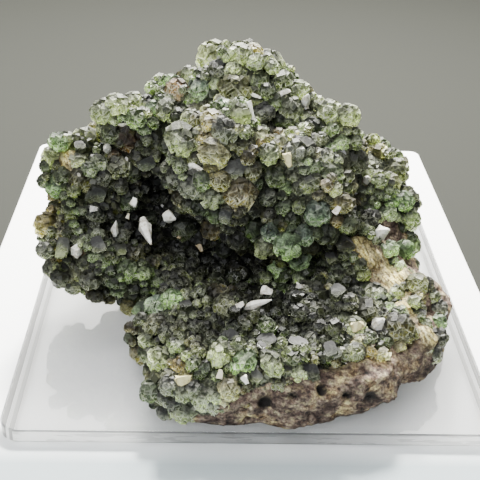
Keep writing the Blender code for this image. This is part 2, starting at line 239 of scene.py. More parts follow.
# Column, row and reach of the other bare rock
BARE = (
    (352, 366, 2.6), (340, 376, 2.6), (318, 388, 2.4), (372, 362, 2.2), (298, 396, 2.4),
    (278, 402, 2.6), (258, 408, 2.6), (238, 412, 2.4), (390, 356, 2.4), (404, 350, 2.2),
    (330, 395, 2.6), (300, 412, 2.6), (220, 420, 2.0), (350, 385, 2.6), (380, 375, 2.6),
)

RIDGE_ENDS = ((362, 242), (410, 300))


# Settings

class StageSettings(bpy.types.PropertyGroup):
    floor: bpy.props.FloatVectorProperty(
        name="Floor", description="Tone of the pale floor", subtype="COLOR", size=3,
        default=(0.96, 0.97, 0.97))
    backdrop: bpy.props.FloatVectorProperty(
        name="Backdrop", description="Tone of the upper backdrop", subtype="COLOR", size=3,
        default=(0.052, 0.055, 0.047))
    place: bpy.props.FloatVectorProperty(
        name="Camera", description="Where the camera stands", size=3, unit="LENGTH",
        default=(-9.75 * MM, -196.13 * MM, 128.25 * MM))
    turn: bpy.props.FloatProperty(
        name="Turn", description="Turn away from straight ahead", unit="ROTATION",
        default=math.radians(2.271))
    tilt: bpy.props.FloatProperty(
        name="Tilt", description="How far it looks down", unit="ROTATION",
        default=math.radians(29.262))
    roll: bpy.props.FloatProperty(
        name="Roll", description="Turn about its own line of sight", unit="ROTATION",
        default=math.radians(2.108))


class BaseSettings(bpy.types.PropertyGroup):
    corner: bpy.props.FloatProperty(
        name="Corner", description="Radius of the sheet's upright corners",
        default=4 * MM, min=0.0, unit="LENGTH")
    rim: bpy.props.FloatProperty(
        name="Rim", description="Rounding of the sheet's polished rims",
        default=0.3 * MM, min=0.0, unit="LENGTH")


class RockSettings(bpy.types.PropertyGroup):
    grain: bpy.props.FloatProperty(
        name="Grain", description="Distance between the points of the rock's surface",
        default=0.56 * MM, min=0.2 * MM, unit="LENGTH")


class CrystalSettings(bpy.types.PropertyGroup):
    patterns: bpy.props.IntProperty(
        name="Patterns", description="How many different crystal balls are made",
        default=16, min=1, max=40)
    seed: bpy.props.IntProperty(
        name="Seed", description="Starting number of the random growth", default=4)
    glass: bpy.props.FloatVectorProperty(
        name="Inner green", description="Colour that light takes on inside a crystal",
        subtype="COLOR", size=3, default=(0.68, 0.74, 0.38))
    density: bpy.props.FloatProperty(
        name="Density", description="How strongly a crystal colours light, per metre",
        default=330.0, min=0.0)
    clearness: bpy.props.FloatProperty(
        name="Clearness", description="Share of light that a crystal lets through",
        default=0.62, min=0.0, max=1.0, subtype="FACTOR")


class CalciteSettings(bpy.types.PropertyGroup):
    edge: bpy.props.FloatProperty(
        name="Edge", description="Width of the worn edges of the white points",
        default=0.10 * MM, min=0.0, unit="LENGTH")


# Meshes

def object_of(name, bm, *materials):
    mesh = bpy.data.meshes.new(name)
    bm.to_mesh(mesh)
    bm.free()
    for material in materials:
        mesh.materials.append(material)
    obj = bpy.data.objects.new(name, mesh)
    bpy.context.scene.collection.objects.link(obj)
    return obj


def bake_modifiers(obj):
    bpy.context.view_layer.update()
    graph = bpy.context.evaluated_depsgraph_get()
    mesh = bpy.data.meshes.new_from_object(obj.evaluated_get(graph))
    obj.modifiers.clear()
    obj.data = mesh


def join(obj, other, solver, self_overlap=False):
    step = obj.modifiers.new("join", "BOOLEAN")
    step.operation = "UNION"
    step.solver = solver
    step.object = other
    step.use_self = self_overlap
    bake_modifiers(obj)
    bpy.data.objects.remove(other)


def bevel(bm, geom, offset, segments=1, affect="EDGES", clamp=False):
    bmesh.ops.bevel(bm, geom=geom, offset=offset, segments=segments, profile=0.5,
                    affect=affect, material=-1, clamp_overlap=clamp)


def sheet(size, middle, corner, segments):
    """A box whose upright edges are rounded."""
    bm = bmesh.new()
    bmesh.ops.create_cube(bm, size=1.0)
    bmesh.ops.scale(bm, vec=size, verts=bm.verts)
    bmesh.ops.translate(bm, vec=middle, verts=bm.verts)
    upright = [e for e in bm.edges if abs(e.verts[0].co.z - e.verts[1].co.z) > MM]
    bevel(bm, upright, corner, segments)
    return bm


def cad_bmesh(node):
    bm = bmesh.new()
    bm.from_mesh(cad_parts[node].data)
    bmesh.ops.remove_doubles(bm, verts=bm.verts, dist=1e-6)
    return bm


def cad_tree(*nodes):
    bm = bmesh.new()
    for node in nodes:
        bm.from_mesh(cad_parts[node].data)
    tree = BVHTree.FromBMesh(bm)
    bm.free()
    return tree


def points_of(mesh):
    points = np.empty(len(mesh.vertices) * 3)
    mesh.vertices.foreach_get("co", points)
    return points.reshape(-1, 3)


def keep_in_box(mesh):
    points = np.clip(points_of(mesh), CAD_BOX[0], CAD_BOX[1])
    mesh.vertices.foreach_set("co", points.ravel())
    mesh.update()


def paint(mesh, tint):
    colour = mesh.attributes.new("tint", "FLOAT_COLOR", "CORNER")
    colour.data.foreach_set("color", np.tile(tint, len(mesh.loops)))


def corner_values(mesh, name, values):
    layer = mesh.attributes.new(name, "FLOAT", "CORNER")
    layer.data.foreach_set("value", values)


# The photograph's camera

def camera_matrix():
    view = bpy.context.scene.specimen_stage
    return (Matrix.Translation(view.place) @ Matrix.Rotation(-view.turn, 4, "Z")
            @ Matrix.Rotation(math.pi / 2 - view.tilt, 4, "X")
            @ Matrix.Rotation(view.roll, 4, "Z"))


def photo_ray(px, py):
    """Start and direction of the line of sight through one place of the photograph."""
    matrix = camera_matrix()
    half = PICTURE / 2
    aim = Vector(((px - half) / FOCAL_PIXELS, (half - py) / FOCAL_PIXELS, -1.0))
    return matrix.translation, (matrix.to_3x3() @ aim).normalized()


# Crystal patterns

def golden_turn(step):
    """Turn that spreads a row of directions evenly round a ball."""
    return step * math.pi * (3 - math.sqrt(5))


def direction(height, around):
    flat = math.sqrt(max(0.0, 1 - height * height))
    return Vector((flat * math.cos(around), flat * math.sin(around), height))


def spin(rng, most=math.pi):
    axis = Vector((rng.gauss(0, 1), rng.gauss(0, 1), rng.gauss(0, 1)))
    return Matrix.Rotation(rng.uniform(-most, most), 4, axis)


def facet_bmesh():
    bm = bmesh.new()
    bm.loops.layers.float_color.new("facet")
    return bm


def edge_distance(point, edge):
    foot, _ = intersect_point_line(point, edge.verts[0].co, edge.verts[1].co)
    return (point - foot).length


def crystal(bm, place, cut):
    """A fluorite cube with cut corners. Its facet values are distances from four edges."""
    one = bmesh.new()
    bmesh.ops.create_cube(one, size=2.0)
    if cut:
        bevel(one, one.verts, cut, affect="VERTICES")
    bmesh.ops.remove_doubles(one, verts=one.verts, dist=1e-3)
    facet = one.loops.layers.float_color.new("facet")
    for face in one.faces:
        middle = face.calc_center_median()
        edges = sorted(face.edges, key=lambda e: -e.calc_length())[:4]
        for loop in face.loops:
            far = [edge_distance(loop.vert.co, e) / edge_distance(middle, e) for e in edges]
            loop[facet] = (far + [FAR_FROM_EDGE] * 4)[:4]
    one.transform(place)
    mesh = bpy.data.meshes.new("crystal")
    one.to_mesh(mesh)
    one.free()
    bm.from_mesh(mesh)
    bpy.data.meshes.remove(mesh)


def round_heart(radius, steps):
    """A rounded middle with no painted highlight lines along its own edges."""
    bm = bmesh.new()
    bmesh.ops.create_icosphere(bm, subdivisions=steps, radius=radius)
    facet = bm.loops.layers.float_color.new("facet")
    for face in bm.faces:
        for loop in face.loops:
            loop[facet] = [FAR_FROM_EDGE] * 4
    return bm


def pattern_mesh(name, bm, heart):
    """Joins loose crystals and a larger one in their middle to one closed mesh."""
    ball = object_of(name, bm)
    join(ball, object_of("heart", heart), "EXACT", self_overlap=True)
    mesh = ball.data
    bpy.data.objects.remove(ball)
    return mesh


def ball_pattern(rng, number, least, most, rounded):
    """A ball of unit radius: overlapping steps of crystals round a larger middle."""
    bm = facet_bmesh()
    count = rng.randint(least, most)
    wide = math.sqrt(14 / count)
    for step in range(count):
        height = 1 - (step + 0.5) / count * 1.15
        away = direction(height, golden_turn(step) + rng.uniform(-0.3, 0.3))
        size = rng.uniform(0.26, 0.44) * wide
        thin = rng.uniform(0.45, 0.8)
        plate = (away.to_track_quat("Z", "Y").to_matrix().to_4x4() @ spin(rng, 0.22)
                 @ Matrix.Diagonal((1.0, 1.0, thin, 1.0)) @ spin(rng))
        place = Matrix.Translation(away * (1.03 - size * thin * rng.uniform(0.85, 1.1)))
        cut = rng.choice((1.0, 1.0, 0.0) if rounded else (1.0, 0.0, 0.0))
        crystal(bm, place @ plate @ Matrix.Scale(size * (0.86 if cut else 0.74), 4), cut)
    if rounded:
        return pattern_mesh(f"ball_{number}", bm, round_heart(rng.uniform(0.80, 0.88), 2))
    heart = facet_bmesh()
    crystal(heart, spin(rng) @ Matrix.Scale(0.66, 4), 1.0)
    return pattern_mesh(f"small_{number}", bm, heart)


def cube_pattern(rng, number):
    """A few flat-faced blocks of about unit radius that grow through one another."""
    cut = 0.45
    bm = facet_bmesh()
    lean = spin(rng, 0.3)
    for _ in range(rng.randint(3, 5)):
        size = rng.uniform(0.28, 0.50)
        away = Vector((rng.uniform(-0.6, 0.6), rng.uniform(-0.6, 0.6), rng.uniform(0.0, 0.25)))
        crystal(bm, Matrix.Translation(away) @ lean @ spin(rng, 0.3) @ Matrix.Scale(size, 4), cut)
    tall = Matrix.Diagonal((rng.uniform(0.55, 0.66), rng.uniform(0.66, 0.9), 0.6, 1.0))
    heart = facet_bmesh()
    crystal(heart, lean @ tall, cut)
    return pattern_mesh(f"cubes_{number}", bm, heart)


# Growth over the crust

def clear_room(node):
    """Two spaces that stay free of crystals: round a white point and in front of it."""
    low, high = (Vector(corner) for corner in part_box(node))
    middle = (low + high) / 2
    reach = (high - low).length * 0.28
    aside = Vector((0, -0.85, 0.5)) * reach
    return (middle, reach), (middle + aside, reach)


def coarseness(point):
    """Crystal balls are largest on the upper mass and finer on the lobes."""
    if point.z > 34 * MM:
        return 1.0
    if point.y < -14 * MM and point.z < 26 * MM:
        return 0.76
    return 0.85


def flatness(point):
    """Share of flat grey cubes among the balls."""
    return 0.06 if point.z < 30 * MM else 0.02


def painted_zone_light(point, out, radius):
    """Painted light and shade: the crown and the right end are painted lighter, and the front lobe, the
    back and fine growth darker, for how light falls on them.
    """
    crown = point.z > 36 * MM or point.x > 26 * MM and point.z > 14 * MM
    front = point.y < -18 * MM and point.z < 26 * MM and point.x > -12 * MM
    tone = 1.72 if crown else 0.80 if front else 1.5
    if radius <= 1.7 * MM:
        tone *= 0.72
    if point.y > 18 * MM and out.y > 0.35:
        tone *= 0.62
    return tone


def nearness(point, marks, margin=0.0):
    """From 0 away from all of the marked places to 1 at the middle of one."""
    return max([0.0] + [1 - (point - place).length / (reach + margin) for place, reach in marks])


def paleness(colour):
    """Share of its light that a colour keeps, against a pale crystal."""
    return min(1.0, sum(colour) / 0.42)


def zone_of(centre):
    x, y, z = (value / MM for value in centre)
    if y > 24 and z < 48:
        return "back"
    if x < -25 and y > -20:
        return "left" if y < 4 else "left_rear"
    if y < -16 and z < 24:
        return "front_left" if x < 0 else "front_right"
    if x > 22 and z < 36:
        return "right"
    if z > 46:
        return "top"
    return "upper_left" if x < -2 else "upper_right"


class Skin:
    """The stone's outer surface. Places and tints for growth on the crust need a rng."""

    def __init__(self, rng=None):
        self.rng = rng
        self.rock = cad_tree(ROCK)
        self.crust = cad_tree(CRUST)
        self.shell = cad_tree(CRUST, ROCK)
        self.bm = cad_bmesh(CRUST)
        bmesh.ops.triangulate(self.bm, faces=self.bm.faces)
        self.faces = [f for f in self.bm.faces
                      if self.rock.find_nearest(f.calc_center_median())[3] > 0.45 * MM]
        self.weights = [f.calc_area() for f in self.faces]
        self.stains_and_shade = self.marks(STAINS_AND_SHADE)
        self.ridge = self.marks(RIDGE)
        self.bare = self.ridge + self.marks(BARE)
        self.sunk = self.marks(SUNK)
        self.keep = [room for node in CALCITES for room in clear_room(node)]

    def marks(self, table):
        """Place, reach and any further value of each row whose place is on the stone."""
        seen = [(self.seen(px, py), reach * MM, *rest) for px, py, reach, *rest in table]
        return [mark for mark in seen if mark[0]]

    def outward(self, point):
        near = self.rock.find_nearest(point)[0]
        return (point - near).normalized()

    def places(self, count):
        for face in self.rng.choices(self.faces, self.weights, k=count):
            low, high = sorted((self.rng.random(), self.rng.random()))
            a, b, c = [v.co for v in face.verts]
            yield a * low + b * (high - low) + c * (1 - high)

    def seen(self, px, py):
        """The surface point that shows at one place of the photograph."""
        return self.shell.ray_cast(*photo_ray(px, py))[0]

    def is_bare(self, point, margin=0.0):
        return any((point - place).length < reach + margin for place, reach in self.bare)

    def hides_calcite(self, point, radius):
        return any((point - place).length < reach + 0.5 * radius for place, reach in self.keep)

    def sink(self, point):
        """How much deeper a crystal group sits where the photograph shows a notch."""
        return 3.2 * MM * nearness(point, self.sunk)

    def openness(self, point, out):
        """Share of the sky that light can reach the point from."""
        start = point + out * 1.2 * MM
        free = 0
        for step in range(SKY_RAYS):
            height = 0.15 + 0.8 * (step + 0.5) / SKY_RAYS
            free += self.shell.ray_cast(start, direction(height, golden_turn(step)))[0] is None
        return free / SKY_RAYS

    def tint(self, point, out, radius, flat):
        """Colour of a crystal group, with painted shade where little sky reaches it and painted light
        and shade by zone, and, as its fourth value, how bright its painted highlights are.
        """
        rng = self.rng
        green = 0.5 + 1.3 * noise.noise(point / (11 * MM)) + rng.uniform(-0.4, 0.4)
        brown = 1.1 * noise.noise(point / (7 * MM) + Vector((7, 3, 1))) + rng.uniform(-0.3, 0.3)
        colour = Vector(TINTS["olive"]).lerp(Vector(TINTS["leaf"]), min(1, max(0, green)))
        colour = colour.lerp(Vector(TINTS["honey"]), min(0.85, max(0, brown)))
        if flat:
            colour = Vector(TINTS["lead"]) * (0.4 if point.z < 26 * MM else 1.0)
        colour *= math.exp(rng.uniform(-1.1, 0.6))
        # Stains, and the painted shade of the black and most smoke patches in the recesses
        for place, reach, name in self.stains_and_shade:
            share = 1.4 * (1 - (point - place).length / reach)
            if share > 0:
                colour = colour.lerp(Vector(TINTS[name]), min(1, share))
        # Painted shade: darker where little of the sky reaches the group, times the painted light and
        # shade of its zone
        light = self.openness(point, out)
        tone = painted_zone_light(point, out, radius)
        return (*colour * tone * (0.35 + 0.65 * light),
                light * (0.25 + 0.75 * paleness(colour)) * tone)


class Growth:
    """Crystal groups placed so that neighbours overlap only a little."""

    def __init__(self):
        self.groups = []
        self.grid = {}

    def cell(self, centre):
        return tuple(int(math.floor(v / GRID)) for v in centre)

    def fits(self, centre, radius, apart):
        x, y, z = self.cell(centre)
        return all((centre - other[0]).length > apart * (radius + other[2])
                   for dx in (-1, 0, 1) for dy in (-1, 0, 1) for dz in (-1, 0, 1)
                   for other in self.grid.get((x + dx, y + dy, z + dz), ()))

    def add(self, centre, out, radius, kind, tint):
        for axis in range(3):
            centre[axis] = min(centre[axis], CAD_BOX[1][axis] - 0.9 * radius)
            centre[axis] = max(centre[axis], CAD_BOX[0][axis] + 0.9 * radius)
        group = (centre, out, radius, kind, tint)
        self.groups.append(group)
        self.grid.setdefault(self.cell(centre), []).append(group)


def grow_features(skin, growth):
    """Places the crystal groups that stand out in the photograph."""
    depths = {"bump": -0.1, "cubes": 0.25}
    for px, py, size, name, *other in FEATURES:
        kind = other[0] if other else "ball"
        place = skin.seen(px, py)
        if place is None:
            continue
        out = (skin.outward(place) - photo_ray(px, py)[1] * 0.6).normalized()
        # Painted highlight: how bright the group's pale rim lines are follows how much sky reaches it
        light = 0.3 + 0.75 * skin.openness(place, out)
        tint = (*Vector(TINTS[name]) * 1.15, light * (0.35 + 0.65 * paleness(TINTS[name])))
        growth.add(place - out * size * MM * depths.get(kind, 0.55), out, size * MM,
                   "ball" if kind == "bump" else kind, tint)


def grow_everywhere(skin, rng):
    growth = Growth()
    grow_features(skin, growth)
    for count, small, large, apart, depth in ROUNDS:
        for point in skin.places(count):
            radius = rng.uniform(small, large) * MM * coarseness(point)
            if skin.is_bare(point, 0.6 * radius) or skin.hides_calcite(point, radius):
                continue
            out = skin.outward(point)
            centre = point - out * (radius * depth + skin.sink(point))
            if growth.fits(centre, radius, apart):
                flat = radius < LARGEST_CUBES and rng.random() < flatness(point)
                growth.add(centre, out, radius, "cubes" if flat else "ball",
                           skin.tint(point, out, radius, flat))
    return growth.groups


def smooth(values, low, high):
    share = np.clip((values - low) / (high - low), 0.0, 1.0)
    return share * share * (3 - 2 * share)


def glow_values(points, centre, out, radius, near):
    """Painted light and shade: from -1, painted shade in the gap above a ball, to 1, a painted
    highlight on the rim below it.
    """
    down = np.array((0.0, -0.35, -0.94))
    side = np.array(out)
    down -= side * down.dot(side)
    down /= max(1e-6, np.linalg.norm(down))
    low = (points - np.array(centre)) @ down / radius
    gap = np.full(len(points), 1.0)
    for other, _, size, *_ in near:
        far = np.linalg.norm(points - np.array(other), axis=1) - 0.97 * size
        gap = np.minimum(gap, np.clip(far / (0.40 * radius), 0.0, 1.0))
    close = 1 - gap
    # Painted highlight on the lower rim and painted shade above the ball, both strongest next to a
    # neighbour
    bright = smooth(low, -0.05, 0.6) * (0.30 + 0.70 * close) + 0.6 * smooth(low, 0.55, 0.95)
    dark = smooth(-low, -0.1, 0.7) * (0.42 + 0.58 * close)
    return np.clip(bright - dark, -1.0, 1.0)


def placed_copy(patterns, rng, near, centre, out, radius, kind, tint):
    size = "small" if kind == "ball" and radius < SMALL_BALL else kind
    mesh = rng.choice(patterns[size]).copy()
    turn = out.to_track_quat("Z", "Y").to_matrix().to_4x4()
    mesh.transform(Matrix.Translation(centre) @ turn
                   @ Matrix.Rotation(rng.uniform(0, math.tau), 4, "Z")
                   @ Matrix.Diagonal((rng.uniform(0.85, 1.2), rng.uniform(0.85, 1.1), 1.0, 1.0))
                   @ Matrix.Scale(radius, 4))
    corners = np.empty(len(mesh.loops), dtype=np.int32)
    mesh.loops.foreach_get("vertex_index", corners)
    glow = glow_values(points_of(mesh), centre, out, radius, near)
    corner_values(mesh, "glow", glow[corners])
    corner_values(mesh, "plain", np.full(len(corners), float(kind != "ball")))
    paint(mesh, tint)
    return mesh


def in_layers(groups):
    """Sorts the groups into layers within which none touches another."""
    layers = []
    for group in groups:
        for layer in layers:
            if all((group[0] - other[0]).length > 1.3 * (group[2] + other[2]) for other in layer):
                layer.append(group)
                break
        else:
            layers.append([group])
    return layers


def grow_zone(name, groups, every, patterns, material, rng):
    """Places the groups of one zone layer by layer and joins them to one solid."""
    near = {id(group): [other for other in every if other is not group
                        and (group[0] - other[0]).length < group[2] + other[2]]
            for group in groups}
    grown = None
    for number, layer in enumerate(in_layers(groups)):
        bm = bmesh.new()
        for group in layer:
            mesh = placed_copy(patterns, rng, near[id(group)], *group)
            bm.from_mesh(mesh)
            bpy.data.meshes.remove(mesh)
        part = object_of(f"{name}_{number}", bm)
        if grown is None:
            grown = part
        else:
            join(grown, part, "MANIFOLD")
    grown.name = name
    keep_in_box(grown.data)
    grown.data.materials.clear()
    grown.data.materials.append(material)
    return grown


# Materials

class Finish:
    """A material, with short ways to add nodes to it."""

    def __init__(self, name):
        self.material = bpy.data.materials.new(name)
        self.material.use_nodes = True
        self.tree = self.material.node_tree

    def feed(self, node, inputs):
        """Links each named input to another node's socket or gives it a plain value."""
        for name, value in inputs.items():
            socket = node.inputs[name]
            if isinstance(value, bpy.types.NodeSocket):
                self.tree.links.new(value, socket)
            elif socket.type == "RGBA":
                socket.default_value = (*value, 1.0)
            else:
                socket.default_value = value

    def add(self, kind, inputs, **options):
        node = self.tree.nodes.new(kind)
        for key, value in options.items():
            setattr(node, key, value)
        self.feed(node, inputs)
        return node.outputs

    def shade(self, inputs):
        self.feed(self.tree.nodes["Principled BSDF"], inputs)
        return self.material

    def attribute(self, name):
        return self.add("ShaderNodeAttribute", {}, attribute_name=name)

    def place(self):
        return self.add("ShaderNodeTexCoord", {})["Object"]

    def axes(self):
        return self.add("ShaderNodeSeparateXYZ", {"Vector": self.place()})

    def noise(self, scale, detail=5.0, rough=0.62, turn=None, stretch=None):
        """Noise on a piece's own coordinates, which may be turned and then stretched."""
        place = self.place()
        for name, value in (("Rotation", turn), ("Scale", stretch)):
            if value:
                place = self.add("ShaderNodeMapping", {"Vector": place, name: value})["Vector"]
        return self.add("ShaderNodeTexNoise", {"Vector": place, "Scale": scale, "Detail": detail,
                                               "Roughness": rough})["Fac"]

    def cells(self, scale, feature):
        return self.add("ShaderNodeTexVoronoi", {"Vector": self.place(), "Scale": scale},
                        feature=feature)

    def math(self, operation, *values):
        return self.add("ShaderNodeMath", dict(enumerate(values)), operation=operation)[0]

    def mix(self, amount, first, second, blend="MIX"):
        return self.add("ShaderNodeMix", {0: amount, 6: first, 7: second}, data_type="RGBA",
                        blend_type=blend)[2]

    def times(self, first, second):
        return self.mix(1.0, first, second, "MULTIPLY")

    def ramp(self, source, *stops):
        """Colours along a value. A single number is a grey."""
        node = self.tree.nodes.new("ShaderNodeValToRGB")
        elements = node.color_ramp.elements
        while len(elements) < len(stops):
            elements.new(0.5)
        for element, (at, colour) in zip(elements, stops):
            element.position = at
            element.color = (*(colour if isinstance(colour, tuple) else (colour,) * 3), 1.0)
        self.tree.links.new(source, node.inputs["Fac"])
        return node.outputs["Color"]

    def bump(self, height, strength, distance):
        return self.add("ShaderNodeBump", {"Height": height, "Strength": strength,
                                           "Distance": distance})["Normal"]


def fluorite_material(name, crystals):
    """Mottled green glass, with painted shade above each ball and painted highlights, thin pale lines
    and a pale band, along the lower rims of each ball.
    """
    finish = Finish(name)
    tint = finish.attribute("tint")
    facet = finish.attribute("facet")
    glow = finish.attribute("glow")["Fac"]
    plain = finish.attribute("plain")["Fac"]
    cloud = finish.noise(650.0, 3.0, 0.6)
    grain = finish.noise(1900.0, 4.0, 0.75)
    cells = finish.cells(560.0, "F1")["Color"]
    walls = finish.cells(560.0, "DISTANCE_TO_EDGE")["Distance"]

    body = finish.times(tint["Color"], finish.ramp(cloud, (0.32, 0.50), (0.50, 0.95), (0.66, 1.5)))
    body = finish.times(body, finish.ramp(grain, (0.36, 0.28), (0.52, 0.95), (0.64, 2.3)))
    body = finish.times(body, finish.ramp(cells, (0.1, 0.55), (0.5, 0.95), (0.9, 1.5)))
    body = finish.mix(finish.math("MULTIPLY", plain, 0.5), body, tint["Color"])
    # Painted shade and highlight: the glow darkens the body in the gap above each ball and lightens it
    # towards the lower rim
    level = finish.math("MULTIPLY_ADD", cloud, 0.5, glow)
    body = finish.times(body, finish.ramp(
        finish.math("MULTIPLY_ADD", level, 0.5, 0.4), (0.06, 0.07), (0.42, (0.36, 0.36, 0.37)),
        (0.55, (0.80, 0.81, 0.76)), (0.70, (1.6, 1.75, 1.1)), (1.0, (3.2, 3.5, 2.1))))

    parts = finish.add("ShaderNodeSeparateColor", {"Color": facet["Color"]})
    least = facet["Alpha"]
    for channel in ("Red", "Green", "Blue"):
        least = finish.math("MINIMUM", least, parts[channel])
    # Painted highlights: thin pale lines along the facet edges and cell walls, which stand for real
    # edges and cracks, brightened by the glow, and a pale painted band on the lowest rims
    edge = finish.ramp(finish.math("MULTIPLY_ADD", grain, 0.36, least), (0.32, 1.0), (0.41, 0.0))
    crack = finish.ramp(finish.math("MULTIPLY_ADD", grain, 0.2, walls), (0.14, 0.8), (0.185, 0.0))
    strength = finish.ramp(level, (0.0, 0.08), (0.34, 0.55), (0.55, 1.0))
    broken = finish.ramp(cloud, (0.40, 0.30), (0.52, 1.0))
    lines = finish.math("MULTIPLY", finish.math("MAXIMUM", edge, crack), strength)
    lines = finish.math("MULTIPLY", lines, broken)
    painted_rim_band = finish.ramp(finish.math("MULTIPLY", level, 0.5), (0.54, 0.0), (0.60, 0.40))
    painted_highlight = finish.math("MULTIPLY", finish.math("MAXIMUM", lines, painted_rim_band),
                        finish.math("MULTIPLY_ADD", plain, -0.7, 1.0))

    # Painted highlight colour, brighter where more sky reaches the group
    pale = finish.times(RIM_HIGHLIGHT_COLOUR, finish.math("ADD", tint["Alpha"], 0.15))
    pale = finish.mix(0.35, pale, finish.times(tint["Color"], (2.6, 2.6, 2.6)))
    rough = finish.ramp(level, (0.10, 0.50), (0.50, 0.20))
    bumpy = finish.math("MULTIPLY_ADD", plain, -0.6, 0.85)
    inside = finish.add("ShaderNodeVolumeAbsorption", {"Color": crystals.glass,
                                                       "Density": crystals.density})
    finish.feed(finish.tree.nodes["Material Output"], {"Volume": inside["Volume"]})
    return finish.shade({
        "Base Color": finish.mix(painted_highlight, body, pale),
        "Roughness": finish.math("MULTIPLY_ADD", painted_highlight, 0.12, rough),
        "Transmission Weight": crystals.clearness,
        "IOR": FLUORITE_IOR,
        "Specular IOR Level": 0.16,
        "Normal": finish.bump(grain, bumpy, 0.14 * MM)})


def druze_material(name):
    finish = Finish(name)
    return finish.shade({"Base Color": finish.attribute("tint")["Color"], "Roughness": 0.18,
                         "IOR": FLUORITE_IOR})


def rock_material(name, along):
    """Layered rock with a pale striated ridge whose fibres run one way."""
    finish = Finish(name)
    covered, ridge, hollow = (finish.attribute(key)["Fac"]
                              for key in ("covered", "ridge", "hollow"))
    dip = (math.radians(8), math.radians(-14), 0)
    beds = finish.noise(700.0, turn=dip, stretch=(0.8, 0.8, 1.2))
    fibres = finish.noise(620.0, turn=along, stretch=(0.15, 3.0, 3.0))
    specks = finish.noise(1900.0, 3.0, 0.7)
    patches = finish.noise(210.0, 3.0, 0.6)
    bedded = finish.ramp(
        beds, (0.34, (0.018, 0.011, 0.009)), (0.44, (0.095, 0.060, 0.045)),
        (0.54, (0.19, 0.145, 0.112)), (0.60, (0.27, 0.22, 0.13)), (0.68, (0.42, 0.38, 0.25)))
    fibred = finish.ramp(
        fibres, (0.38, (0.05, 0.035, 0.015)), (0.44, (0.22, 0.165, 0.05)),
        (0.50, (0.46, 0.41, 0.17)), (0.56, (0.25, 0.205, 0.12)), (0.64, (0.66, 0.63, 0.34)))
    speckled = finish.ramp(specks, (0.34, 0.30), (0.50, 1.0), (0.68, 1.7))
    patched = finish.ramp(patches, (0.38, (0.36, 0.32, 0.32)), (0.50, 1.0),
                          (0.62, (1.60, 1.58, 1.15)))
    grown = finish.ramp(specks, (0.40, (0.008, 0.009, 0.006)), (0.52, (0.045, 0.050, 0.032)),
                        (0.64, (0.16, 0.17, 0.11)))
    colour = finish.times(finish.times(finish.mix(ridge, bedded, fibred), speckled), patched)
    # Painted shade: the pits are painted nearly black
    colour = finish.mix(hollow, finish.mix(covered, colour, grown), (0.010, 0.008, 0.007))
    height = finish.mix(ridge, finish.noise(1100.0, 5.0, 0.7), fibres)
    return finish.shade({"Base Color": colour, "Roughness": 0.75, "Specular IOR Level": 0.3,
                         "Normal": finish.bump(height, 0.9, 0.5 * MM)})


def calcite_material(name):
    finish = Finish(name)
    white = finish.ramp(finish.noise(900.0, 4.0, 0.65), (0.36, (0.50, 0.45, 0.36)),
                        (0.46, (0.86, 0.83, 0.75)), (0.58, (1.0, 0.99, 0.95)))
    return finish.shade({
        "Base Color": finish.times(white, finish.attribute("tint")["Color"]),
        "Roughness": 0.40,
        "Subsurface Weight": 0.12,
        "Subsurface Radius": (1.2 * MM, 1.0 * MM, 0.8 * MM)})


def acrylic_material(name):
    """Clear sheet with painted reflections: faint stripes near its left and right sides for what its
    sawn sides reflect through the top, and painted reflection patches and dark edge lines on its rim.
    """
    finish = Finish(name)
    axes = finish.axes()
    across = finish.math("ABSOLUTE", axes["X"])
    along = finish.math("ABSOLUTE", axes["Y"])
    start, width = 46 * MM, 4 * MM
    outward = finish.math("MULTIPLY_ADD", across, 1 / width, -start / width)
    # Painted reflection: stripes in the sheet's colour near its left and right sides
    lines = finish.ramp(outward, (0.0, 0.98), (0.04, 0.45), (0.14, 0.80), (0.18, 0.16),
                        (0.42, 0.22), (0.47, 0.90), (0.58, 0.85), (0.62, 0.06), (0.84, 0.12),
                        (0.90, 1.0))
    rim = finish.math("GREATER_THAN", finish.math("MAXIMUM", across, along), 49.85 * MM)
    waves = finish.noise(620.0, stretch=(0.13, 0.13, 1.1))
    # Painted reflection patches on the rim, and painted dark lines along its top and bottom edges, the
    # lower one a painted contact shadow
    painted_rim_reflection = finish.ramp(waves, (0.44, 0.60), (0.46, 0.85), (0.48, 1.0))
    lips = finish.ramp(finish.math("MULTIPLY", axes["Z"], 333.0), (0.07, 0.30), (0.13, 1.0),
                       (0.84, 1.0), (0.88, 0.15))
    return finish.shade({
        "Base Color": finish.mix(rim, lines, finish.times(painted_rim_reflection, lips)),
        "Roughness": finish.math("MULTIPLY_ADD", rim, 0.30, 0.02),
        "Transmission Weight": 1.0,
        "IOR": ACRYLIC_IOR,
        "Normal": finish.bump(waves, rim, 0.35 * MM)})


def stage_material(name, axis, near, far, low, high):
    """A matt finish that runs from one tone to another along an axis."""
    finish = Finish(name)
    span = finish.add("ShaderNodeMapRange", {"Value": finish.axes()[axis], "From Min": low,
                                             "From Max": high})
    tone = finish.ramp(span["Result"], (0.0, near), (1.0, tuple(far)))
    return finish.shade({"Base Color": tone, "Roughness": 0.9, "Specular IOR Level": 0.1})


# Operators

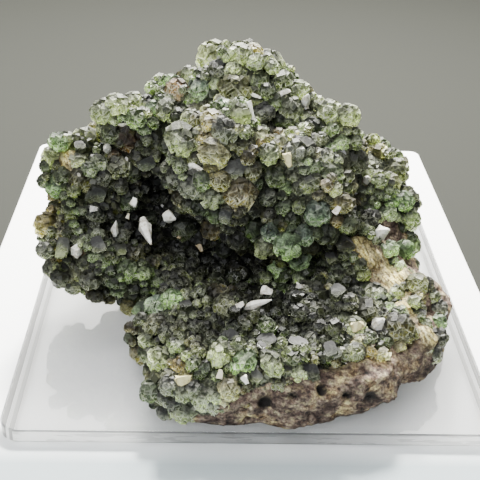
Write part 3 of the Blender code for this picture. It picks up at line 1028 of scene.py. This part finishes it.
class StageOperator(bpy.types.Operator):
    """Sets up the pale floor, the grey backdrop, the lights and the camera"""
    bl_idname = "specimen.set_stage"
    bl_label = "Set Stage"

    def execute(self, context):
        scene = context.scene
        camera = bpy.data.objects.new("camera", bpy.data.cameras.new("camera"))
        scene.collection.objects.link(camera)
        camera.matrix_world = camera_matrix()
        camera.data.sensor_width = SENSOR
        camera.data.lens = SENSOR * FOCAL_PIXELS / PICTURE
        camera.data.clip_start = 0.01
        scene.camera = camera
        self.floor(scene.specimen_stage.floor)
        self.backdrop(scene.specimen_stage.backdrop)
        for name, lamp in LAMPS.items():
            self.light(name, *lamp)
        world = bpy.data.worlds.new("room")
        world.use_nodes = True
        sky = world.node_tree.nodes["Background"]
        sky.inputs["Color"].default_value = ROOM_TONE
        sky.inputs["Strength"].default_value = ROOM_LIGHT
        scene.world = world
        return {"FINISHED"}

    def floor(self, tone):
        bm = sheet(FLOOR_SIZE, FLOOR_MIDDLE, 3 * MM, 6)
        rims = [e for e in bm.edges if all(v.co.z > -MM for v in e.verts)]
        bevel(bm, rims, 0.6 * MM, 3)
        # Painted shade and light: the floor is painted darker in front of the clear sheet than under
        # it, where it shows bright through the sheet, and the change at the sheet's front edge stands
        # for a contact shadow
        floor = object_of("table", bm, stage_material(
            "table_with_painted_shade", "Y", (0.33, 0.38, 0.40), tone, -0.056, -0.046))

    def backdrop(self, tone):
        side = BACKDROP_WIDTH / 2
        bm = bmesh.new()
        ground = bm.faces.new([bm.verts.new((x, y, BACKDROP_LEVEL)) for x, y in (
            (-side, -side), (side, -side), (side, BACKDROP_PLACE), (-side, BACKDROP_PLACE))])
        back = max(ground.edges, key=lambda e: min(v.co.y for v in e.verts))
        raised = bmesh.ops.extrude_edge_only(bm, edges=[back])["geom"]
        bmesh.ops.translate(bm, vec=(0, 0, BACKDROP_HEIGHT),
                            verts=[g for g in raised if isinstance(g, bmesh.types.BMVert)])
        bevel(bm, [back], 0.5, 12)
        backdrop = object_of("backdrop", bm, stage_material(
            "grey_backdrop", "Z", (0.026, 0.027, 0.0235), tone, BACKDROP_LEVEL, 1.2))
        backdrop.data.shade_smooth()

    def light(self, name, place, size, power, colour):
        data = bpy.data.lights.new(name, "AREA")
        data.shape = "RECTANGLE"
        data.size, data.size_y = size
        data.energy = power
        data.color = colour
        lamp = bpy.data.objects.new(name, data)
        aim = LAMP_AIM - Vector(place)
        lamp.matrix_world = (Matrix.Translation(place)
                             @ aim.to_track_quat("-Z", "Y").to_matrix().to_4x4())
        bpy.context.scene.collection.objects.link(lamp)


class BaseOperator(bpy.types.Operator):
    """Makes the clear acrylic base with its rounded and polished rim"""
    bl_idname = "specimen.make_base"
    bl_label = "Make Base"

    def execute(self, context):
        sizes = context.scene.specimen_base
        low, high = (Vector(corner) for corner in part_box(BASE))
        bm = sheet(high - low, (low + high) / 2, sizes.corner, 10)
        rims = [e for e in bm.edges if e.is_manifold and e.calc_face_angle() > 1.2]
        bevel(bm, rims, sizes.rim, 3)
        for face in bm.faces:
            face.smooth = abs(face.normal.z) < 0.99
        base = object_of("clear_base", bm, acrylic_material("clear_acrylic_sheet"))
        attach(base, "root")
        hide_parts(BASE)
        return {"FINISHED"}


class RockOperator(bpy.types.Operator):
    """Carves the layered matrix rock"""
    bl_idname = "specimen.carve_rock"
    bl_label = "Carve Rock"

    def execute(self, context):
        skin = Skin()
        start, end = (skin.seen(*place) for place in RIDGE_ENDS)
        turn = (end - start).normalized().to_track_quat("X", "Z").inverted()
        rock = object_of("layered_rock", cad_bmesh(ROCK),
                         rock_material("layered_matrix", turn.to_euler()))
        step = rock.modifiers.new("refine", "REMESH")
        step.mode = "VOXEL"
        step.voxel_size = context.scene.specimen_rock.grain
        bake_modifiers(rock)
        self.carve(skin, rock, turn)
        rock.data.shade_smooth()
        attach(rock, "root")
        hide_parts(ROCK)
        self.druze(skin, rock)
        return {"FINISHED"}

    def carve(self, skin, rock, turn):
        """Ledges, striations, pits and holes, and what the material needs to know of them."""
        pits = [(skin.rock.ray_cast(*photo_ray(px, py))[0], reach * MM) for px, py, reach in PITS]
        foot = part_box(ROCK)[0][2]
        bm = bmesh.new()
        bm.from_mesh(rock.data)
        bm.normal_update()
        covered, ridge, hollow = (bm.verts.layers.float.new(key)
                                  for key in ("covered", "ridge", "hollow"))
        moves = []
        for v in bm.verts:
            hit = skin.crust.ray_cast(v.co - v.normal * 0.3 * MM, v.normal, 3 * MM)[0]
            hole = 2.4 * nearness(v.co, pits)
            v[ridge] = min(1.0, 1.6 * nearness(v.co, skin.ridge, 2.5 * MM))
            v[covered] = 0.0 if hit is None or skin.is_bare(hit, 2.6 * MM) else 1.0
            # How much of the pits' painted shade a point takes
            v[hollow] = min(1.0, 1.5 * hole)
            moves.append(self.relief(v, v[ridge], hole, turn @ v.co, foot))
        for v, move in zip(bm.verts, moves):
            v.co += move
            v.co.y = max(v.co.y, CAD_BOX[0][1] + 0.05 * MM)
        bm.to_mesh(rock.data)
        bm.free()

    def relief(self, v, ridge, hole, local, foot):
        """How far a point of the rock moves."""
        ledge = noise.noise(Vector((v.co.x, v.co.y, v.co.z * 5)) / (4.5 * MM))
        strip = noise.noise(Vector((local.x * 0.25, local.y * 1.6, local.z * 1.6)) / (1.6 * MM))
        grit = noise.fractal(v.co / (1.3 * MM), 0.8, 2.0, 3)
        pit = max(0.0, noise.noise(v.co / (3.2 * MM) + Vector((3, 8, 2))) - 0.32) * 4 + hole
        out = 0.45 * ledge + 0.28 * grit - 1.1 * pit
        out += ridge * (1.3 + 0.6 * strip - 0.3 * ledge)
        move = v.normal * out * MM
        if v.co.z < foot + 1.2 * MM:
            move *= max(0.0, (v.co.z - foot) / (1.2 * MM))
        if v.co.y < -38 * MM and v.co.z < 20 * MM:
            move.y -= 1.6 * MM * min(1.0, (-38 * MM - v.co.y) / (5 * MM))
        return move

    def druze(self, skin, rock):
        """Tiny crystals over the rock between the larger groups."""
        rng = random.Random(DRUZE_SEED)
        bm = bmesh.new()
        tint = bm.loops.layers.float_color.new("tint")
        layer = rock.data.attributes["covered"].data
        spots = [v for v in rock.data.vertices if layer[v.index].value > 0.5]
        for v in rng.sample(spots, DRUZE_COUNT):
            size = rng.uniform(0.35, 0.9) * MM
            place = v.co + v.normal * size * 0.2
            # Painted shade: each tiny crystal is darker where less of the sky reaches it
            light = skin.openness(place + v.normal * 2 * MM, v.normal)
            made = bmesh.ops.create_cube(bm, size=size * 1.6, matrix=(
                Matrix.Translation(place) @ spin(rng)))
            shade = rng.uniform(0.02, 0.13) * (0.3 + light)
            for face in {f for corner in made["verts"] for f in corner.link_faces}:
                for loop in face.loops:
                    loop[tint] = (shade * 0.95, shade, shade * 0.62, 1.0)
        druze = object_of("fine_druze", bm, druze_material("dark_fine_crystal"))
        keep_in_box(druze.data)
        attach(druze, "root")


class CrystalOperator(bpy.types.Operator):
    """Grows the balls of fluorite crystals over the crust"""
    bl_idname = "specimen.grow_crystals"
    bl_label = "Grow Crystals"

    def execute(self, context):
        crystals = context.scene.specimen_crystals
        rng = random.Random(crystals.seed)
        patterns = {"ball": [ball_pattern(rng, n, 11, 14, True) for n in range(crystals.patterns)],
                    "small": [ball_pattern(rng, n, 5, 7, False) for n in range(crystals.patterns)],
                    "cubes": [cube_pattern(rng, n) for n in range(8)]}
        patterns["plain"] = patterns["ball"]
        groups = grow_everywhere(Skin(rng), rng)
        material = fluorite_material("green_crystal", crystals)
        zones = {}
        for group in groups:
            zones.setdefault(zone_of(group[0]), []).append(group)
        for zone, members in sorted(zones.items()):
            crust = grow_zone(f"crystals_{zone}", members, groups, patterns, material, rng)
            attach(crust, "root")
            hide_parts(CRUST)
        return {"FINISHED"}


class CalciteOperator(bpy.types.Operator):
    """Finishes the white calcite points and adds the small chips beside them"""
    bl_idname = "specimen.finish_calcite"
    bl_label = "Finish Calcite"

    def execute(self, context):
        material = calcite_material("white_calcite_points")
        for node in CALCITES:
            bm = cad_bmesh(node)
            bmesh.ops.dissolve_limit(bm, angle_limit=math.radians(3), verts=bm.verts,
                                     edges=bm.edges)
            bevel(bm, bm.edges, context.scene.specimen_calcite.edge, clamp=True)
            bmesh.ops.triangulate(bm, faces=bm.faces)
            long = [e for e in bm.edges if e.calc_length() > 0.8 * MM]
            bmesh.ops.subdivide_edges(bm, edges=long, cuts=2, use_grid_fill=True)
            bmesh.ops.triangulate(bm, faces=bm.faces)
            bm.normal_update()
            for v in bm.verts:
                step = noise.noise(v.co / (1.4 * MM)) + 0.4 * noise.noise(v.co / (0.5 * MM))
                v.co += v.normal * 0.22 * step * MM
            point = object_of(f"{node}_chipped", bm, material)
            keep_in_box(point.data)
            paint(point.data, (*TINTS["white"], 1.0))
            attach(point, "root")
            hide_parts(node)
        self.chips(material)
        return {"FINISHED"}

    def chips(self, material):
        """Small loose-shaped pieces of calcite at places that the photograph shows."""
        rng = random.Random(CHIP_SEED)
        skin = Skin()
        view = camera_matrix().to_3x3()
        bm = bmesh.new()
        for px, py, long, wide, degrees, name in CHIPS:
            place = skin.seen(px, py)
            if place is None:
                continue
            angle = math.radians(degrees)
            axis = view @ Vector((math.cos(angle), math.sin(angle), 0))
            side = view @ Vector((0, 0, 1))
            turn = Matrix((axis, side.cross(axis), side)).transposed().to_4x4()
            one = bmesh.new()
            bmesh.ops.create_cube(one, size=1.0)
            bevel(one, one.verts, 0.24, affect="VERTICES")
            for v in one.verts:
                v.co += Vector(rng.uniform(-0.12, 0.12) for _ in range(3))
                v.co.yz *= 1.0 - 0.45 * v.co.x
            one.transform(Matrix.Translation(place - photo_ray(px, py)[1] * wide * 0.9 * MM) @ turn
                          @ Matrix.Diagonal((long * MM, wide * MM, wide * 0.8 * MM, 1.0)))
            bmesh.ops.triangulate(one, faces=one.faces)
            bmesh.ops.recalc_face_normals(one, faces=one.faces)
            chip = bpy.data.meshes.new("chip")
            one.to_mesh(chip)
            one.free()
            paint(chip, (*TINTS[name], 1.0))
            bm.from_mesh(chip)
            bpy.data.meshes.remove(chip)
        pieces = object_of("calcite_chips", bm, material)
        keep_in_box(pieces.data)
        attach(pieces, "root")


class SpecimenPanel(bpy.types.Panel):
    """Lists the specimen's settings and steps"""
    bl_idname = "VIEW3D_PT_specimen"
    bl_label = "Fluorite Specimen"
    bl_space_type = "VIEW_3D"
    bl_region_type = "UI"
    bl_category = "Specimen"

    def draw(self, context):
        layout = self.layout
        for name, settings in SETTINGS.items():
            box = layout.box()
            for key in settings.__annotations__:
                box.prop(getattr(context.scene, name), key)
        for operator in OPERATORS:
            layout.operator(operator.bl_idname)


SETTINGS = {"specimen_stage": StageSettings, "specimen_base": BaseSettings,
            "specimen_rock": RockSettings, "specimen_crystals": CrystalSettings,
            "specimen_calcite": CalciteSettings}
OPERATORS = (StageOperator, BaseOperator, RockOperator, CrystalOperator, CalciteOperator)
CLASSES = (*SETTINGS.values(), *OPERATORS, SpecimenPanel)


def register():
    for cls in CLASSES:
        bpy.utils.register_class(cls)
    for name, settings in SETTINGS.items():
        setattr(bpy.types.Scene, name, bpy.props.PointerProperty(type=settings))


def unregister():
    for name in SETTINGS:
        delattr(bpy.types.Scene, name)
    for cls in reversed(CLASSES):
        bpy.utils.unregister_class(cls)


def main():
    register()
    bpy.ops.specimen.set_stage()
    bpy.ops.specimen.make_base()
    bpy.ops.specimen.carve_rock()
    bpy.ops.specimen.grow_crystals()
    bpy.ops.specimen.finish_calcite()


if __name__ == "__main__":
    main()
